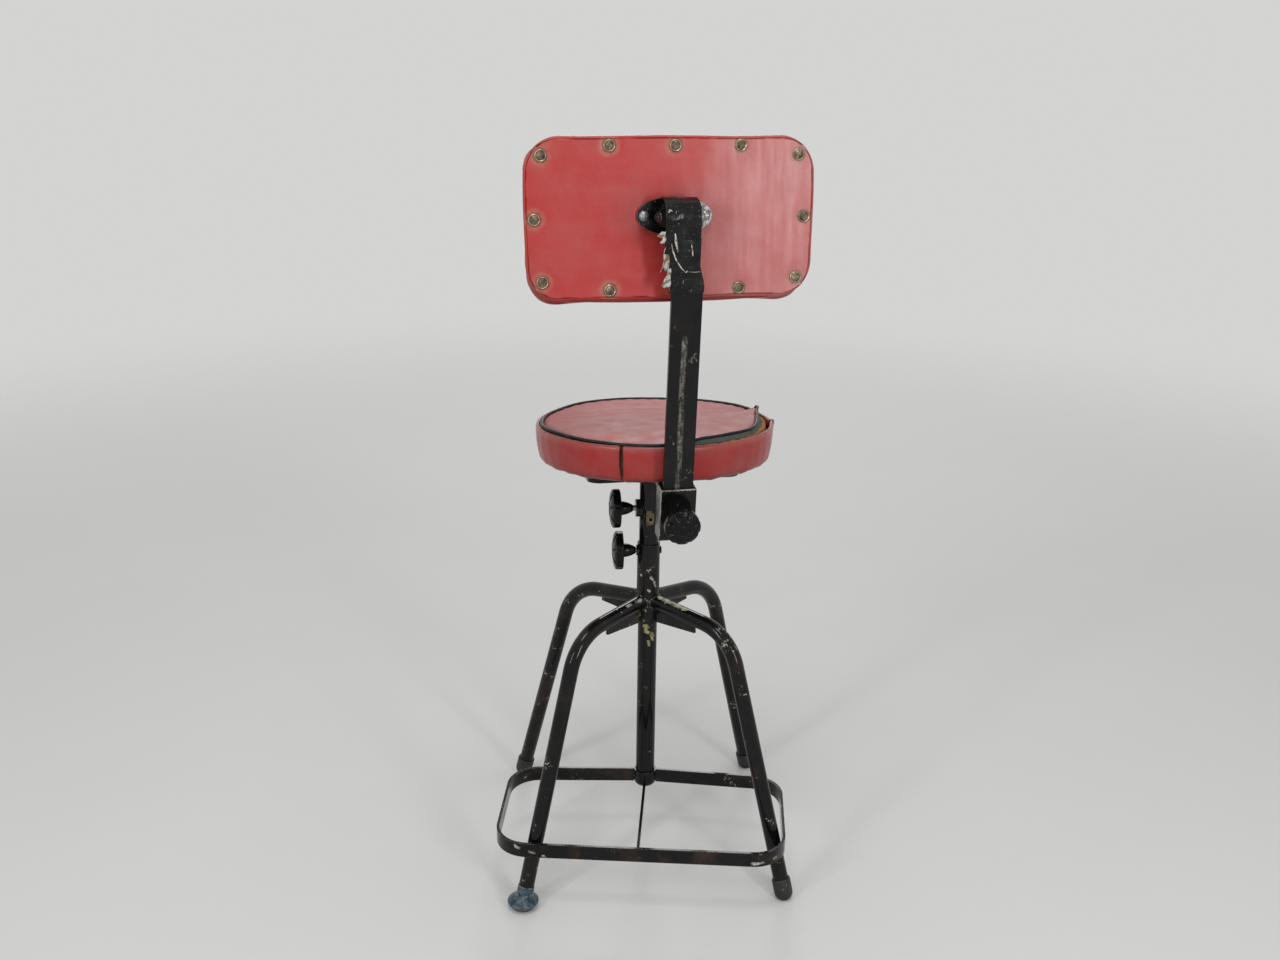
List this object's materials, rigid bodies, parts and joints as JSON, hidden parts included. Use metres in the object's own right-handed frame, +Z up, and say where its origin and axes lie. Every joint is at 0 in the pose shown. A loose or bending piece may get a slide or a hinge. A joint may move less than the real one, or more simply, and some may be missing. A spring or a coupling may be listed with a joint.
{
  "type": "work stool",
  "caption": "Swivel work stool with a round padded seat, a padded backrest on a sliding flat bar, clamp knobs, four splayed tube legs and a strip foot ring.",
  "frame": {"origin": "on the column's axis at floor level", "axes": "+Z up the column; +Y towards the backrest, the sitter faces -Y; +X is the sitter's left"},
  "size_m": [0.4674, 0.4717, 1.0815],
  "materials": {
    "black_paint": "gloss black paint, chipped",
    "bare_steel": "bare steel, dulled",
    "spindle_steel": "bare steel with old grease",
    "zinc": "zinc plated",
    "bronze": "dull bronze",
    "dull_brass": "antique brass, grimy",
    "knob_plastic": "moulded black plastic",
    "plug_plastic": "black plastic",
    "rubber": "worn black rubber",
    "blue_grey": "worn blue-grey paint",
    "red_leatherette": "red leatherette, worn",
    "faded_leatherette": "faded red leatherette",
    "piping": "black piping",
    "foam": "aged orange foam",
    "plywood": "plywood",
    "tape": "black insulating tape"
  },
  "bodies": {
    "base": {"hub_sleeve": "black_paint", "hub_rivet": "black_paint", "height_screw_pad": "black_paint", "leg_front_left": "black_paint", "leg_front_right": "black_paint", "leg_rear_right": "black_paint", "leg_rear_left": "black_paint", "gussets": "black_paint", "ferrule_front_left": "rubber", "ferrule_front_right": "rubber", "ferrule_rear_right": "rubber", "glide_rear_left": "blue_grey", "foot_ring": "black_paint", "ring_tie_strip": "black_paint", "ring_cup": "black_paint"},
    "height_screw": {"height_screw": "bare_steel"},
    "height_knob": {"height_knob": "knob_plastic"},
    "column": {"stem_tube": "black_paint", "stem_end_plug": "plug_plastic", "swivel_screw_flange": "black_paint", "swivel_washer": "bronze"},
    "swivel_screw": {"swivel_screw": "bare_steel"},
    "swivel_knob": {"swivel_knob": "knob_plastic"},
    "seat": {"spindle": "spindle_steel", "pan_hub": "black_paint", "seat_pan": "black_paint", "pan_screws": "zinc", "back_arm": "black_paint", "arm_bolts": "zinc", "bar_socket": "black_paint", "socket_block": "black_paint", "socket_boss": "black_paint", "seat_board": "plywood", "seat_foam": "foam", "seat_cover": "faded_leatherette", "seat_band": "red_leatherette", "seat_piping": "piping", "seat_tacks": "dull_brass"},
    "rear_screw": {"rear_screw": "bare_steel"},
    "rear_knob": {"rear_knob": "knob_plastic"},
    "bar": {"back_bar": "black_paint", "bar_bush": "bronze", "bar_tape": "tape"},
    "backrest": {"pivot_plate": "zinc", "pivot_bolt": "zinc", "pivot_nut": "black_paint", "pivot_washer": "zinc", "plate_screws": "zinc", "back_board": "plywood", "back_foam": "foam", "back_cover": "red_leatherette", "back_panel": "red_leatherette", "back_cup_washers": "dull_brass", "back_screws": "dull_brass"}
  },
  "joints": [
    {"name": "height_slide", "type": "slide", "parent": "base", "child": "column", "axis": [0, 0, 1], "range_m": [0, 0.18]},
    {"name": "seat_swivel", "type": "hinge", "parent": "column", "child": "seat", "pos_m": [0, 0, 0.604], "axis": [0, 0, 1], "continuous": true},
    {"name": "back_bar_slide", "type": "slide", "parent": "seat", "child": "bar", "axis": [0, 0.0958, 0.9954], "range_m": [-0.15, 0.015]},
    {"name": "backrest_tilt", "type": "hinge", "parent": "bar", "child": "backrest", "pos_m": [0, 0.19398, 0.98815], "axis": [1, 0, 0], "range_deg": [-20, 10]},
    {"name": "height_screw_travel", "type": "slide", "parent": "base", "child": "height_screw", "axis": [0.9925, -0.1219, 0], "range_m": [0, 0.0025]},
    {"name": "height_knob_turn", "type": "hinge", "parent": "height_screw", "child": "height_knob", "pos_m": [0.02978, -0.00366, 0.475], "axis": [0.9925, -0.1219, 0], "range_deg": [0, 720]},
    {"name": "swivel_screw_travel", "type": "slide", "parent": "column", "child": "swivel_screw", "axis": [0.9962, -0.0872, 0], "range_m": [0, 0.0025]},
    {"name": "swivel_knob_turn", "type": "hinge", "parent": "swivel_screw", "child": "swivel_knob", "pos_m": [0.02989, -0.00262, 0.541], "axis": [0.9962, -0.0872, 0], "range_deg": [0, 720]},
    {"name": "rear_screw_travel", "type": "slide", "parent": "seat", "child": "rear_screw", "axis": [0, 0.9954, -0.0958], "range_m": [0, 0.0025]},
    {"name": "rear_knob_turn", "type": "hinge", "parent": "rear_screw", "child": "rear_knob", "pos_m": [0, 0.19475, 0.58923], "axis": [0, 0.9954, -0.0958], "range_deg": [0, 720]}
  ],
  "couplings": [
    {"joint": "height_knob_turn", "follows": "height_screw_travel", "rad_per_m": 5026.5},
    {"joint": "swivel_knob_turn", "follows": "swivel_screw_travel", "rad_per_m": 5026.5},
    {"joint": "rear_knob_turn", "follows": "rear_screw_travel", "rad_per_m": 5026.5}
  ]
}
